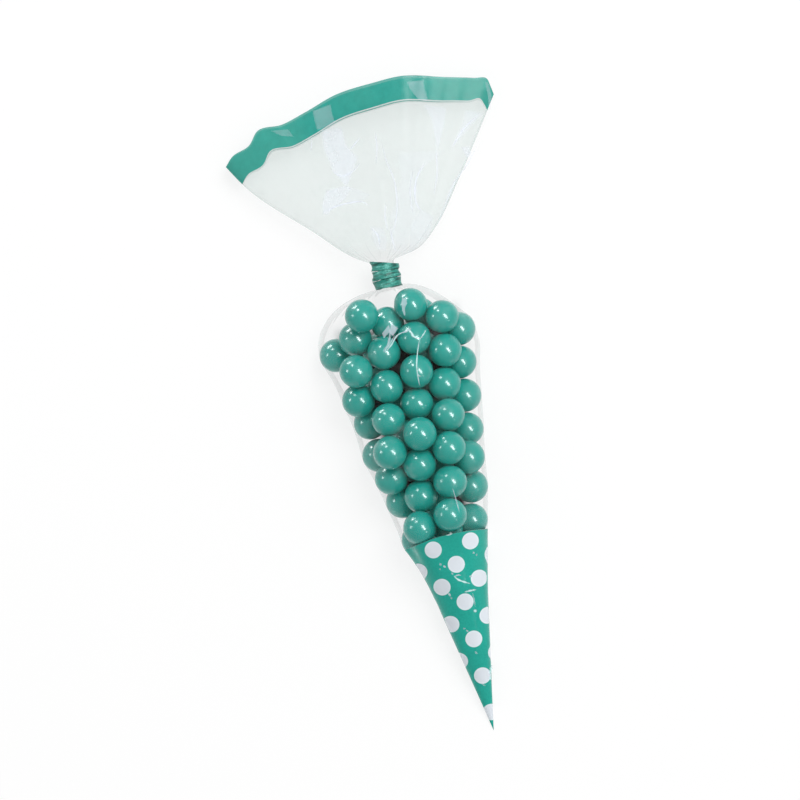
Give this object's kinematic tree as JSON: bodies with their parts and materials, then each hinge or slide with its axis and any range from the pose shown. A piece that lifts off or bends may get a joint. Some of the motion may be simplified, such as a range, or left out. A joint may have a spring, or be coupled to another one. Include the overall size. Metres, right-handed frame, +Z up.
{
  "type": "cone treat bag",
  "caption": "Clear film cone bag lying flat, its pouch packed with round sweets, dotted print at the point, a twist tie round the neck and a fanned mouth",
  "frame": {"origin": "centre of the bounding box, on the table under it", "axes": "+Y runs from the point of the cone to the mouth, +X is to the right seen from above, +Z is up"},
  "size_m": [0.1072, 0.2542, 0.0346],
  "materials": {
    "film": "clear glossy film, printed teal with white dots at the point and with a teal band at the mouth",
    "foil": "crumpled teal foil strip with a metallic sheen",
    "candy": "smooth polished teal sugar shell"
  },
  "bodies": {
    "root": {"film_bag": "film", "twist_tie": "foil", "sweet_01": "candy", "sweet_02": "candy", "sweet_03": "candy", "sweet_04": "candy", "sweet_05": "candy", "sweet_06": "candy", "sweet_07": "candy", "sweet_08": "candy", "sweet_09": "candy", "sweet_10": "candy", "sweet_11": "candy", "sweet_12": "candy", "sweet_13": "candy", "sweet_14": "candy", "sweet_15": "candy", "sweet_16": "candy", "sweet_17": "candy", "sweet_18": "candy", "sweet_19": "candy", "sweet_20": "candy", "sweet_21": "candy", "sweet_22": "candy", "sweet_23": "candy", "sweet_24": "candy", "sweet_25": "candy", "sweet_26": "candy", "sweet_27": "candy", "sweet_28": "candy", "sweet_29": "candy", "sweet_30": "candy", "sweet_31": "candy", "sweet_32": "candy", "sweet_33": "candy", "sweet_34": "candy", "sweet_35": "candy", "sweet_36": "candy", "sweet_37": "candy", "sweet_38": "candy", "sweet_39": "candy", "sweet_40": "candy", "sweet_41": "candy", "sweet_42": "candy", "sweet_43": "candy", "sweet_44": "candy", "sweet_45": "candy", "sweet_46": "candy", "sweet_47": "candy", "sweet_48": "candy", "sweet_49": "candy", "sweet_50": "candy", "sweet_51": "candy", "sweet_52": "candy", "sweet_53": "candy", "sweet_54": "candy", "sweet_55": "candy"}
  },
  "joints": []
}
